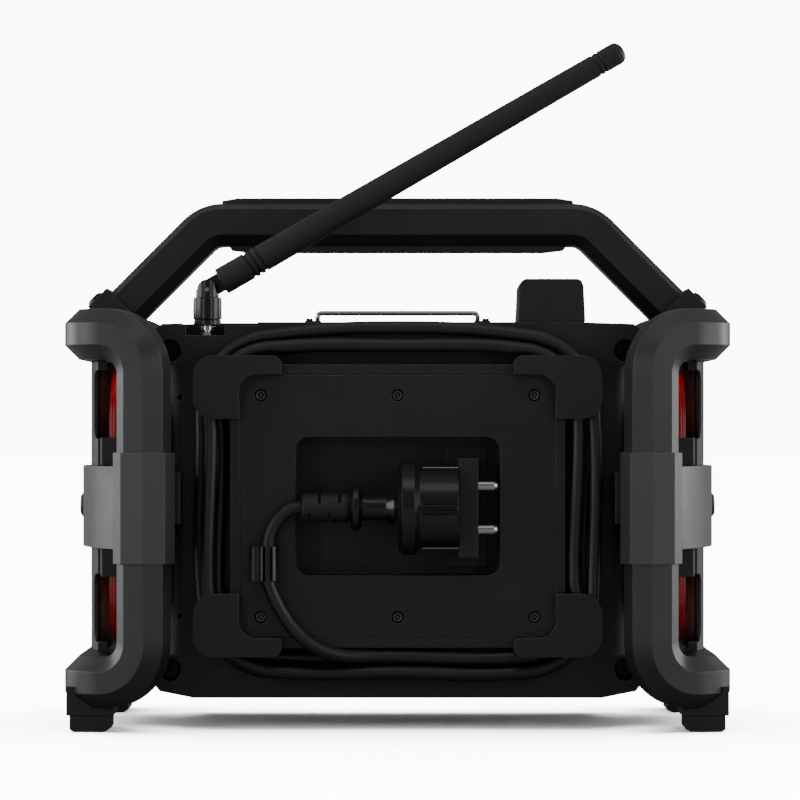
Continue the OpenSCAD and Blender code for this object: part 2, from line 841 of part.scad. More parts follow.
module speaker_magnets() {
  color(steel)
    both_sides()
      translate([housing_w / 2 + touch, 0, mid_z])
        rotate([0, 90, 0])
          rotate_extrude($fn = 64)
            polygon([[0, 0], [20, 0], [20, 2.7], [0, 2.7]]);
}

// ---------- feet ----------

foot_y0 = 44;
foot_y1 = 75;

foot_block_h = low_z - 2 - 7.2;

module foot_blocks() {
  color(soft_black)
    for (sx = [0, 1], sy = [0, 1])
      mirror([sx, 0, 0])
        mirror([0, sy, 0])
          difference() {
            translate([run_x - 11.7, foot_y0, 7.2]) cube([20.4, foot_y1 - foot_y0, foot_block_h]);
            translate([0, 0, 2 * mid_z]) mirror([0, 0, 1]) guard_quarter(touch);
          }
}

module foot_pads() {
  color(soft_black)
    for (sx = [0, 1], sy = [0, 1])
      mirror([sx, 0, 0])
        mirror([0, sy, 0])
          upright(foot_y0, foot_y1)
            polygon([
              [run_x - 9.8, 7], [run_x - 9.8, 1.2], [run_x - 7.8, 0], [run_x + 5.2, 0],
              [run_x + 7.2, 1.2], [run_x + 7.2, 7]
            ]);
}

// ---------- handle ----------

arm_line = beam_z + 85;            // x + z along the middle of an arm
beam_half = arm_line - beam_z - beam_r * tan(22.5);
guard_face = top_z - run_x + (guard_u / 2 + guard_v / 2 - guard_c);  // z - x of the guard's inner chamfer
saddle = 2;                        // bracket left between the arm's end and the guard
arm_end = guard_face + saddle * sqrt(2);
arm_x = (arm_line - arm_end) / 2;
arm_z = (arm_line + arm_end) / 2;
arm_start_x = arm_line - beam_z + beam_r * tan(22.5) * cos(45);
arm_len = (arm_x - arm_start_x) * sqrt(2);

// Beam outline with y along the depth of the radio and x towards the outside of the bend
module beam_section() {
  t = beam_t / 2;
  d = beam_d / 2;
  polygon([
    [t, d - 3], [t - 2.4, d], [5 - t, d], [-t, d - 5],
    [-t, 5 - d], [5 - t, -d], [t - 2.4, -d], [t, 3 - d]
  ]);
}

// Right half of the handle in the plane of x and z
module handle_half() {
  rotate([90, 0, 90]) linear_extrude(beam_half) translate([0, beam_z]) rotate(90) beam_section();
  translate([beam_half, 0, beam_z - beam_r])
    rotate([90, 0, 0])
      rotate([0, 0, 45])
        rotate_extrude(angle = 45, $fn = 96) translate([beam_r, 0]) beam_section();
  translate([arm_start_x, 0, arm_line - arm_start_x])
    rotate([0, 135, 0])
      linear_extrude(arm_len) rotate(180) beam_section();
}

module handle_bar() {
  color(guard_grey)
    both_sides() handle_half();
}

module handle_grip_upper() {
  color(soft_black)
    upright(-beam_d / 2 + 3.2, beam_d / 2 - 3.2)
      polygon([
        [-79, beam_z + beam_t / 2], [79, beam_z + beam_t / 2], [79, beam_z + beam_t / 2 + 1.2],
        [72, beam_z + beam_t / 2 + 2.4], [-72, beam_z + beam_t / 2 + 2.4], [-79, beam_z + beam_t / 2 + 1.2]
      ]);
}

module handle_grip_lower() {
  color(soft_black)
    upright(-beam_d / 2 + 5.2, beam_d / 2 - 5.2)
      polygon([
        [-76, beam_z - beam_t / 2], [76, beam_z - beam_t / 2], [75, beam_z - beam_t / 2 - 1.6],
        [66, beam_z - beam_t / 2 - 2.7], [-66, beam_z - beam_t / 2 - 2.7], [-75, beam_z - beam_t / 2 - 1.6]
      ]);
}

bracket_t = 2.4;

module handle_brackets() {
  color(guard_grey)
    both_sides()
      difference() {
        translate([arm_x, 0, arm_z])
          rotate([0, 135, 0])
            translate([-beam_t / 2 - bracket_t, -beam_d / 2 - bracket_t, -6])
              cube([beam_t + 2 * bracket_t, beam_d + 2 * bracket_t, 12]);
        translate([arm_x, 0, arm_z])
          rotate([0, 135, 0])
            translate([-beam_t / 2 - touch, -beam_d / 2 - touch, -30])
              cube([beam_t + 2 * touch, beam_d + 2 * touch, 30 + touch]);
        translate([run_x, 30, top_z])
          rotate([90, 0, 0])
            linear_extrude(60) octagon(guard_u + 2 * touch, guard_v + 2 * touch, guard_c);
      }
}

// Domed bolt in the outer side of each bracket
module handle_bolts() {
  color(soft_black)
    both_sides()
      translate([arm_x + 1.2, 0, arm_z - 1.2])
        rotate([0, 45, 0])
          translate([0, 0, beam_t / 2 + bracket_t + 0.1])
            rotate_extrude($fn = 48)
              polygon([[0, 0], [4.6, 0], [4.6, 0.5], [3.6, 1.9], [2.4, 2.4], [1.5, 2.4], [1.5, 1.2], [0, 1.2]]);
}

// ---------- aerial ----------

// Stud and nut in the housing; a spigot on top carries the turning collar
module aerial_nut() {
  color(steel)
    translate([aerial_x, aerial_y, aerial_floor]) {
      translate([0, 0, -6]) cylinder(r = 3.1, h = 6.1, $fn = 48);
      cylinder(r = 2.3, h = 3.2, $fn = 48);
      translate([0, 0, touch]) cylinder(r = 3.4, h = 1.2, $fn = 6);
      translate([0, 0, 2.2]) cylinder(r = 4.1, h = 2, $fn = 48);
      translate([0, 0, 4]) cylinder(r = 2.5, h = 7.4, $fn = 48);
    }
}

knuckle_r = 4.4;
pin_r = 1.1;

// Turning foot of the aerial with a slot for the rod's tongue
module aerial_collar() {
  color(soft_black)
    translate([aerial_x, aerial_y, 0])
      difference() {
        union() {
          translate([0, 0, aerial_floor + 4.5]) cylinder(r = 6, h = 2.3, $fn = 64);
          translate([0, 0, aerial_floor + 6.6]) cylinder(r = 5.6, h = 1, $fn = 64);
          translate([0, 0, aerial_floor + 7.2]) cylinder(r = 6.35, h = aerial_z - 3.5 - aerial_floor - 7.2, $fn = 64);
          translate([0, 0, aerial_z - 4]) cylinder(r = 5.3, h = 4, $fn = 64);
          intersection() {
            translate([0, 0, aerial_z]) rod_y(knuckle_r, -5.3, 5.3);
            translate([0, 0, aerial_z - 4]) cylinder(r = 5.3, h = 12, $fn = 64);
          }
        }
        translate([-8, -1.6, aerial_z - 5]) cube([16, 3.2, 20]);
        translate([0, 0, aerial_floor]) cylinder(r = 2.55, h = 11.7, $fn = 48);
        translate([0, 0, aerial_z]) rod_y(pin_r + 0.02, -8, 8);
      }
}

// Pin through the collar and the tongue
module aerial_pin() {
  color(steel)
    translate([aerial_x, aerial_y, aerial_z]) rod_y(pin_r, -4.6, 4.6);
}

// Rod with its tongue and grooves, drawn along its own axis
module aerial_rod() {
  color(soft_black)
    translate([aerial_x, aerial_y, aerial_z])
      rotate([0, aerial_tilt - 90, 0]) {
        difference() {
          union() {
            rod_y(4.2, -1.3, 1.3);
            translate([-4.2, -1.3, 0]) cube([8.4, 2.6, 8]);
          }
          rod_y(pin_r + 0.05, -2, 2);
        }
        rotate_extrude($fn = 64)
          polygon([
            [0, 7.1], [5.8, 7.1], [6.1, 7.5], [6.1, 20.8], [5.4, 21], [5.4, 22], [6.1, 22.2],
            [6.1, 23.6], [5.4, 23.8], [5.4, 24.8], [6.1, 25], [6.1, 26.4], [5.4, 26.6],
            [5.4, 27.6], [6.05, 27.8], [5, aerial_l - 14], [4.6, aerial_l - 13.8],
            [4.6, aerial_l - 13.2], [5, aerial_l - 13], [5, aerial_l - 11.6],
            [4.6, aerial_l - 11.4], [4.6, aerial_l - 10.8], [5, aerial_l - 10.6],
            [5, aerial_l - 3.4], [4.6, aerial_l - 1.8], [3.4, aerial_l - 0.6], [2, aerial_l],
            [0, aerial_l]
          ]);
      }
}

rest_x0 = -82.4;
rest_x1 = -52.9;
rest_top = aerial_z + 4.6;
channel_r = 6.1;

// Block on the top with an open channel in which the lowered rod lies
module aerial_rest() {
  color(soft_black)
    translate([(rest_x0 + rest_x1) / 2, 0, housing_top])
      difference() {
        upright(rear_y - 48, rear_y)
          polygon([
            [-14.75, touch], [14.75, touch], [14, rest_top - housing_top - 3], [13, rest_top - housing_top - 0.8],
            [11.4, rest_top - housing_top], [-11.4, rest_top - housing_top],
            [-13, rest_top - housing_top - 0.8], [-14, rest_top - housing_top - 3]
          ]);
        translate([0, aerial_y, aerial_z - housing_top]) rod_x(channel_r, -20, 20);
        translate([-20, aerial_y - channel_r, aerial_z - housing_top]) cube([40, 2 * channel_r, 20]);
      }
}

// ---------- wire bail on the top ----------

bail_x = 36;
bail_y = -22;
wire_r = 1.1;
bail_z = housing_top + wire_r + 0.5;
bail_len = 30;
bend = 1.8;                        // bend radius of the wire
ear_r = 2.2;

module bail_ears() {
  color(soft_black)
    for (sx = [-1, 1])
      translate([sx * (bail_x + bend + 2.6) - 1.5, 0, 0])
        difference() {
          union() {
            translate([0, bail_y - ear_r, housing_top + touch]) cube([3, 2 * ear_r, bail_z - housing_top - touch]);
            translate([0, bail_y, bail_z]) rod_x(ear_r - touch, 0, 3);
          }
          translate([0, bail_y, bail_z]) rod_x(wire_r + 0.06, -1, 4);
          translate([-1, bail_y - 5, housing_top - 10]) cube([5, 10, 10 + touch]);
        }
}

// Quarter bend of the wire
module wire_bend() {
  rotate_extrude(angle = 90, $fn = 64) translate([bend, 0]) circle(r = wire_r, $fn = 32);
}

// Wire with its two ends turned out into the ears, and its crossbar raised for the fingers
module wire_bail() {
  color(steel)
    both_sides()
      translate([0, bail_y, bail_z]) {
        rod_x(wire_r, bail_x + bend, bail_x + bend + 4.6);
        translate([bail_x + bend, bend, 0]) rotate([0, 0, 180]) wire_bend();
        translate([bail_x, 0, 0]) rod_y(wire_r, bend, bail_len - bend);
        translate([bail_x, bail_len - bend, bend]) rotate([0, 0, 90]) rotate([-90, 0, 0]) wire_bend();
        translate([bail_x - bend, bail_len, bend]) rotate([90, 0, 0]) wire_bend();
        translate([0, bail_len, 2 * bend]) rod_x(wire_r, -0.01, bail_x - bend);
      }
}

// ---------- front ----------

panel_w = 170;
panel_h = 130;
panel_t = 6;
panel_y = front_y - 3;
window_w = 84;
window_h = 34;
window_z = mid_z + 34;
knob_z = mid_z + 26;
knob_x = 64;
button_z = mid_z - 4;
button_pitch = 19;
button_h = 9;
flap_w = 60;
flap_h = 24;
flap_z = mid_z - 38;
knob_l = 20;

function button_x(i) = (i - 2) * button_pitch;

module front_panel() {
  color(soft_black)
    difference() {
      union() {
        upright(panel_y, panel_y + panel_t) translate([0, mid_z]) round_rect(panel_w, panel_h, 8);
        upright(panel_y + 1, panel_y + 20) translate([0, flap_z]) round_rect(flap_w + 3, flap_h + 3, 5);
      }
      upright(panel_y - 1, panel_y + panel_t + 1)
        translate([0, window_z]) round_rect(window_w, window_h, 5);
      for (i = [0:4])
        upright(panel_y - 1, panel_y + panel_t + 1)
          translate([button_x(i), button_z]) round_rect(button_w + 2 * fit, button_h + 2 * fit, 3 + fit);
      for (sx = [-1, 1])
        translate([sx * knob_x, 0, knob_z]) rod_y(3.4, panel_y - 1, panel_y + panel_t + 1);
      translate([0, panel_y + 1.3, flap_z - flap_h / 2 + 1.3]) rod_x(1.26, -flap_w / 2 - 2.2, flap_w / 2 + 2.2);
      upright(panel_y - 1, panel_y + 17) translate([0, flap_z]) round_rect(flap_w - 4, flap_h - 4, 3);
      upright(panel_y - 1, panel_y + 3.6) translate([0, flap_z]) round_rect(flap_w + 2 * fit, flap_h + 2 * fit, 4);
    }
}

module display_window() {
  color([0.1, 0.13, 0.15])
    upright(panel_y + 1, panel_y + 4) translate([0, window_z]) round_rect(window_w - 2 * touch, window_h - 2 * touch, 4.85);
}

module display_board() {
  color([0.1, 0.3, 0.15])
    difference() {
      union() {
        for (sx = [-1, 1], sz = [-1, 1])
          translate([sx * 71, 0, window_z - 18 + sz * 30])
            rod_y(3, panel_y + panel_t + touch, panel_y + panel_t + button_travel + 2);
        upright(panel_y + panel_t + button_travel + 1.8, panel_y + panel_t + button_travel + 3.4)
          translate([0, window_z - 18]) round_rect(152, 70, 3);
      }
      for (sx = [-1, 1])
        translate([sx * knob_x, 0, knob_z]) rod_y(8.4, panel_y, panel_y + 20);
    }
}

// Round bodies behind the panel in which the knob shafts turn
module rotary_controls() {
  color(steel)
    for (sx = [-1, 1])
      translate([sx * knob_x, 0, knob_z])
        difference() {
          rod_y(8, panel_y + panel_t + touch, panel_y + panel_t + 8);
          rod_y(3.16, panel_y, panel_y + panel_t + 4.6);
        }
}

// Ribbed knob on its shaft
module knob(x) {
  color(soft_black)
    translate([x, 0, knob_z]) {
      difference() {
        rod_y(knob_d / 2, panel_y - knob_l, panel_y - 0.5);
        for (a = [0:20:340])
          rotate([0, a, 0]) translate([knob_d / 2 + 0.6, 0, 0]) rod_y(1.6, panel_y - knob_l - 1, panel_y - 4);
        rotate([0, 40, 0]) translate([-0.8, panel_y - knob_l - 1, 6]) cube([1.6, 1.8, knob_d / 2 - 8]);
      }
      rod_y(3.1, panel_y - 1, panel_y + panel_t + 4);
    }
}

module push_button(i) {
  color(guard_grey) {
    upright(panel_y - button_travel - 0.4, panel_y + panel_t - 1)
      translate([button_x(i), button_z]) round_rect(button_w, button_h, 3);
    upright(panel_y + panel_t + 0.2, panel_y + panel_t + 1.6)
      translate([button_x(i), button_z]) round_rect(button_w + 2.4, button_h + 2.4, 3);
    upright(panel_y + 2, panel_y + panel_t + 1)
      translate([button_x(i), button_z]) round_rect(button_w - 2, button_h - 2, 2);
  }
}

// Cover over the sockets, hinged along its lower edge
module port_flap() {
  color(soft_black) {
    upright(panel_y, panel_y + 2.4) translate([0, flap_z + 1]) round_rect(flap_w, flap_h - 2, 4);
    translate([0, panel_y + 1.3, flap_z - flap_h / 2 + 1.3]) rod_x(1.2, -flap_w / 2 - 1.8, flap_w / 2 + 1.8);
    upright(panel_y - 1.6, panel_y + 1) translate([0, flap_z + flap_h / 2 - 4]) round_rect(14, 3, 1.4);
  }
}

// Sockets behind the flap: a round one and two flat ones
module port_sockets() {
  color(steel)
    translate([0, 0, flap_z]) {
      translate([-18, 0, 0]) difference() {
        rod_y(4, panel_y + 9, panel_y + 16.9);
        rod_y(1.8, panel_y + 8, panel_y + 16);
      }
      for (x = [2, 18])
        difference() {
          translate([x - 7, panel_y + 9, -3.5]) cube([14, 7.9, 7]);
          translate([x - 6, panel_y + 8, -2.5]) cube([12, 8, 5]);
        }
    }
}

// ---------- inside ----------

module main_board() {
  color([0.1, 0.3, 0.15]) {
    translate([-70, -20, housing_z + wall + 6]) cube([140, 52, 1.6]);
    for (x = [-60, 60], y = [-14, 26])
      translate([x, y, housing_z + wall + 0.1]) cylinder(r = 3, h = 6, $fn = 32);
    translate([-40, -6, housing_z + wall + 7.5]) cube([30, 18, 9]);
    translate([10, -8, housing_z + wall + 7.5]) cube([22, 22, 4]);
  }
}

module power_supply() {
  color(steel) {
    translate([40, -12, housing_z + wall + 7.7]) cube([26, 40, 24]);
    translate([44, -8, housing_z + wall + 31]) cube([18, 32, 6]);
  }
}

// ---------- drawing ----------

rear_housing();
front_housing();
rear_cover();
cover_screws();
housing_screws();
cord_cleats_upper();
cord_cleats_lower();
cord_gland();
cord_clip();
plug_holder();
power_plug();
plug_pins();
plug_earth_strips();
plug_strain_relief();
cord_winding();
cord_tail();
guard_upper(1);  // guard_upper_left
guard_upper(-1);  // guard_upper_right
guard_lower(1);  // guard_lower_left
guard_lower(-1);  // guard_lower_right
side_band(1);  // side_band_left
side_band(-1);  // side_band_right
band_bolts();
side_plate(1);  // side_plate_left
side_plate(-1);  // side_plate_right
foot_pads();
foot_blocks();
speaker_pod(1);  // speaker_pod_left
speaker_pod(-1);  // speaker_pod_right
trim_rings();
speaker_cones();
speaker_magnets();
handle_bar();
handle_grip_upper();
handle_grip_lower();
handle_brackets();
handle_bolts();
guard_arms();
aerial_nut();
aerial_collar();
aerial_pin();
aerial_rod();
aerial_rest();
bail_ears();
wire_bail();
front_panel();
display_window();
display_board();
knob(-knob_x);  // volume_knob
knob(knob_x);  // tuning_knob
push_button(0);  // button_1
push_button(1);  // button_2
push_button(2);  // button_3
push_button(3);  // button_4
push_button(4);  // button_5
port_flap();
port_sockets();
rotary_controls();
main_board();
power_supply();
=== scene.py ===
# %% [markdown]
# # A jobsite radio, seen from behind
# The radio comes packed as a fixed frame of exact solids, and this lesson dresses it: first the camera
# and the power cord, then the floor and the lights, then one material for each kind of surface, and
# last the pieces that need more shape than the solids have. All lengths are in metres.

# %% Load the frame
import json
import math

import bmesh
import bpy
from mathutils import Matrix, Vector
from mathutils.geometry import interpolate_bezier


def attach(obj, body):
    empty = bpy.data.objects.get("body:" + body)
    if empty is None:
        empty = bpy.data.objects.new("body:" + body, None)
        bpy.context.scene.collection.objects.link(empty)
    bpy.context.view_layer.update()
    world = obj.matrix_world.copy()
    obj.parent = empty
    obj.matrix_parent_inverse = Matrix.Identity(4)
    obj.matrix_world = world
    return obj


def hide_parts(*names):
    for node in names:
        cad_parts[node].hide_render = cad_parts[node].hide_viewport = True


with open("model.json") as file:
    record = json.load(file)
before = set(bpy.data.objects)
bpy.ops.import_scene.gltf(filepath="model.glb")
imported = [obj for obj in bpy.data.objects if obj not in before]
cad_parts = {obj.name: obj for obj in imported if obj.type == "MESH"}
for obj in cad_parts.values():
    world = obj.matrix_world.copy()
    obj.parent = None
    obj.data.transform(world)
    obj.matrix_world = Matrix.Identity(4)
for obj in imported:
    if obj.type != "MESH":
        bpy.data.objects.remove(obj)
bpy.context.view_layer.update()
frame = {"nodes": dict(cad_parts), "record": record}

# %% [markdown]
# ## The camera
# The picture is taken straight from behind with a long lens: left and right sides mirror each other,
# and parts that stand nearer are hardly larger. So the camera stands on the middle plane, 1.77 m away,
# at the height where the picture shows neither tops nor undersides. The lens is shifted and not tilted,
# which keeps upright edges parallel.

# %% Camera
CAMERA_DISTANCE = 1.7695
CAMERA_HEIGHT = 0.131
SENSOR_WIDTH = 36             # millimetres, as lenses are sold
LENS_IN_PIXELS = 3910
PICTURE_WIDTH = 800
bpy.ops.object.select_all(action="DESELECT")
bpy.ops.object.camera_add(location=(0, CAMERA_DISTANCE, CAMERA_HEIGHT),
                          rotation=(math.radians(90), 0, math.radians(180)))
camera = bpy.context.object
camera.name = "camera"
camera.data.sensor_width = SENSOR_WIDTH
camera.data.lens = SENSOR_WIDTH * LENS_IN_PIXELS / PICTURE_WIDTH
camera.data.shift_x = 0.003
camera.data.shift_y = 0.0375
camera.data.clip_start = 0.05
camera.data.clip_end = 50
bpy.context.scene.camera = camera
print("camera lens", round(camera.data.lens, 1), "mm")

# %% [markdown]
# ## The power cord
# The cord leaves a gland under the rear cover, goes three times round the core in two layers, passes
# a small clip and ends in the parked plug. A person winding it lays turn beside turn until the channel
# is full, and comes back over the first layer. That is the rule below: a rounded rectangle that grows
# outwards, steps up to the next layer, and shrinks again. A circle could be swept along it by hand, but
# one curve with a round bevel needs only the route. It is made a mesh at the end, and the points of its
# middle line are kept, because they give its length.

# %% The cord's route
CORD_D = 0.006
LAP = 24                      # points in one turn
TURNS = 3
CURVE_STEPS = 6               # pieces of tube between two points
TURNS_OUT = 1.25              # turns in the layer that lies on the housing
PITCH = 0.0067                # from one turn to the next beside it
CORE_MID = 0.0978
CORNER_R = 0.024
STRAIGHT_X = 0.053            # from the middle to where a corner begins, across
STRAIGHT_Z = 0.0417           # and upwards
BACK_Y = 0.0574
LAYER = 0.0066
SWING = 0.0008                # so that the climbing stretch clears the turn beneath it
TAIL = [                      # the free end, in millimetres, from the lower run past the clip
    (12, 64.6, 32.2), (20, 66.2, 32.4), (28, 68.2, 33.6), (34.6, 69.4, 36.2), (40.4, 69.8, 40),
    (45.4, 70, 45), (49.8, 70.1, 51), (53.2, 70.2, 57.4), (55.6, 70.2, 63.4), (56.4, 70.2, 67),
    (56.4, 70.2, 73), (56.4, 70.2, 79), (55.8, 70.2, 84.4), (53.8, 70.1, 89.4), (50.6, 69.9, 93.6),
    (46.8, 69.6, 96.4),
]
PLUG_END = (0.0419, 0.0695, 0.0972)


def outward(t):
    """How far turn t lies outside the innermost one. It swings out a little where it climbs."""
    if t < TURNS_OUT:
        return PITCH * t
    if t < TURNS_OUT + 0.5:
        return PITCH * TURNS_OUT + SWING * math.sin(math.pi * (t - TURNS_OUT) / 0.5)
    return PITCH * (TURNS - t)


def depth(t):
    """The cord climbs to the front layer in half a turn."""
    climb = min(max((t - TURNS_OUT) / 0.5, 0), 1)
    return BACK_Y + LAYER * climb * climb * (3 - 2 * climb)


def corner_point(k, r):
    """Step k of 6 through one quarter of the rounded rectangle, from the middle of its lower side."""
    if k == 0:
        return 0, -(STRAIGHT_Z + r)
    turn = math.radians(22.5 * (k - 1))
    return STRAIGHT_X + r * math.sin(turn), -STRAIGHT_Z - r * math.cos(turn)


def lap_point(k, r):
    """Step k of 24 round the whole rectangle."""
    if k < 6:
        return corner_point(k, r)
    if k < 12:
        x, z = corner_point(12 - k, r)
        return x, -z
    if k < 18:
        x, z = corner_point(k - 12, r)
        return -x, -z
    x, z = corner_point(24 - k, r)
    return -x, z


def winding_point(i):
    t = i / LAP
    k = i % LAP
    x, z = lap_point(k, CORNER_R + outward(t))
    slack = 0.0022 * outward(t) / PITCH
    x += slack * {6: 1, 18: -1}.get(k, 0)
    z += slack * {12: 1}.get(k, 0)
    return x, depth(t), CORE_MID + z


LOWER_RUN = CORE_MID - STRAIGHT_Z - CORNER_R
route = [(0.0002, BACK_Y, LOWER_RUN), (0.007, BACK_Y, LOWER_RUN)]
route += [winding_point(i) for i in range(1, TURNS * LAP + 1)]
route += [(x / 1000, y / 1000, z / 1000) for x, y, z in TAIL]
route.append(PLUG_END)
print("cord route", len(route), "points")

# %% The cord as a curve
bpy.ops.object.select_all(action="DESELECT")
bpy.ops.curve.primitive_bezier_curve_add(location=(0, 0, 0))
cord = bpy.context.object
cord.name = "power_cord"
cord.data.splines.clear()
spline = cord.data.splines.new("BEZIER")
spline.bezier_points.add(len(route) - 1)
for point, place in zip(spline.bezier_points, route):
    point.co = place
    point.handle_left_type = "AUTO"
    point.handle_right_type = "AUTO"
cord.data.dimensions = "3D"
cord.data.resolution_u = CURVE_STEPS
cord.data.bevel_depth = CORD_D / 2
cord.data.bevel_resolution = 5
cord.data.use_fill_caps = True
cord.data.twist_mode = "MINIMUM"
knots = spline.bezier_points
path = []
for start, end in zip(knots, knots[1:]):
    path += interpolate_bezier(start.co, start.handle_right, end.handle_left, end.co,
                               CURVE_STEPS + 1)[:-1]
path.append(Vector(route[-1]))
bpy.ops.object.convert(target="MESH")
cord = bpy.context.object
cord.name = "power_cord"
bpy.ops.object.shade_smooth()
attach(cord, "radio")
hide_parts("cord_winding", "cord_tail")

# %% [markdown]
# ## The studio
# The photograph is a product picture: white ground, white air, and a broad soft light from each side
# that draws a pale line along every chamfer of the black guards. Two more lights stand behind the radio,
# two narrow ones stand nearer the camera and a weak one hangs above, so that outlines and round corners
# show. A wide sun, almost overhead, whitens the ground and lays a soft shadow under the radio. It is
# kept out of reflections, where it would only be a glare on every upper edge. White ground and air would
# light black plastic grey, so what the camera sees of them is white, and what lights the radio from
# there is dim.

# %% Floor
MIX_FIRST, MIX_SECOND, MIX_COLOUR = 6, 7, 2       # places of a Mix node's colour sockets
DIM_PAPER = (0.1, 0.1, 0.1, 1)
WHITE_PAPER = (4.2, 4.2, 4.2, 1)
bpy.ops.object.select_all(action="DESELECT")
bpy.ops.mesh.primitive_plane_add(size=40, location=(0, 0, 0))
floor = bpy.context.object
floor.name = "studio_floor"
floor_paint = bpy.data.materials.new("floor_paint")
floor_paint.use_nodes = True
floor_shader = floor_paint.node_tree.nodes["Principled BSDF"]
paper = floor_paint.node_tree.nodes.new("ShaderNodeMix")
paper.data_type = "RGBA"
paper.inputs[MIX_FIRST].default_value = DIM_PAPER
paper.inputs[MIX_SECOND].default_value = WHITE_PAPER
looked_at = floor_paint.node_tree.nodes.new("ShaderNodeLightPath")
floor_paint.node_tree.links.new(looked_at.outputs["Is Camera Ray"], paper.inputs[0])
floor_paint.node_tree.links.new(paper.outputs[MIX_COLOUR], floor_shader.inputs["Base Color"])
floor_shader.inputs["Roughness"].default_value = 0.7
floor_shader.inputs["Specular IOR Level"].default_value = 0.1
floor.data.materials.append(floor_paint)
print("floor", tuple(round(v, 1) for v in floor.dimensions))

# %% World
world = bpy.data.worlds.new("studio_air")
bpy.context.scene.world = world
world.use_nodes = True
air = world.node_tree.nodes["Background"]
air.inputs["Color"].default_value = (1, 1, 1, 1)
seen = world.node_tree.nodes.new("ShaderNodeLightPath")
strength = world.node_tree.nodes.new("ShaderNodeMapRange")
strength.inputs["To Min"].default_value = 0.16
strength.inputs["To Max"].default_value = 11
world.node_tree.links.new(seen.outputs["Is Camera Ray"], strength.inputs["Value"])
world.node_tree.links.new(strength.outputs["Result"], air.inputs["Strength"])
print("world", world.name)


# %% Lights
def softbox(name, place, aim, size, watts):
    """A large area light at place that shines towards aim."""
    bpy.ops.object.select_all(action="DESELECT")
    bpy.ops.object.light_add(type="AREA", location=place)
    box = bpy.context.object
    box.name = name
    box.data.shape = "RECTANGLE"
    box.data.size, box.data.size_y = size
    box.data.energy = watts
    box.rotation_euler = (Vector(aim) - Vector(place)).to_track_quat("-Z", "Y").to_euler()
    print(name, watts, "W")
    return box


RADIO_MIDDLE = (0, 0.05, 0.1)
for name, side in (("left", 1), ("right", -1)):
    softbox("light_" + name, (side * 1.5, 0.45, 0.35), RADIO_MIDDLE, (0.9, 1.2), 13)
for name, side in (("left", 1), ("right", -1)):
    softbox("rim_" + name, (side * 1.45, -0.7, 0.3), RADIO_MIDDLE, (0.8, 1.1), 13)
for name, side in (("left", 1), ("right", -1)):
    softbox("strip_" + name, (side * 0.95, 1.5, 0.3), RADIO_MIDDLE, (0.3, 1.3), 2.9)
softbox("light_top", (0, 0.9, 1.6), (0, 0, 0.1), (1.6, 0.7), 3)
bpy.ops.object.select_all(action="DESELECT")
bpy.ops.object.light_add(type="SUN", location=(0, -1, 2))
sun = bpy.context.object
sun.name = "light_overhead"
sun.data.energy = 9
sun.data.angle = math.radians(90)
sun.rotation_euler = Vector((0, 0.3, -1)).to_track_quat("-Z", "Y").to_euler()
sun.visible_glossy = False
print("sun", sun.data.energy)

# %% [markdown]
# ## Moulded plastic
# Nearly every surface is black plastic from a mould. Up close it isn't one black: the mould's fine
# grain scatters light, handling polishes some places and dusts others, and edges wear pale. So one
# recipe makes all of them, and with its metal value raised also the steel and the chrome. One noise
# mixes two close colours and varies the roughness, a fine one gives the grain, and a mask of the edges,
# broken up by a third, comes from comparing the true normal with a rounded one.


# %% A recipe for moulded surfaces
def link(tree, out, into):
    tree.links.new(out, into)


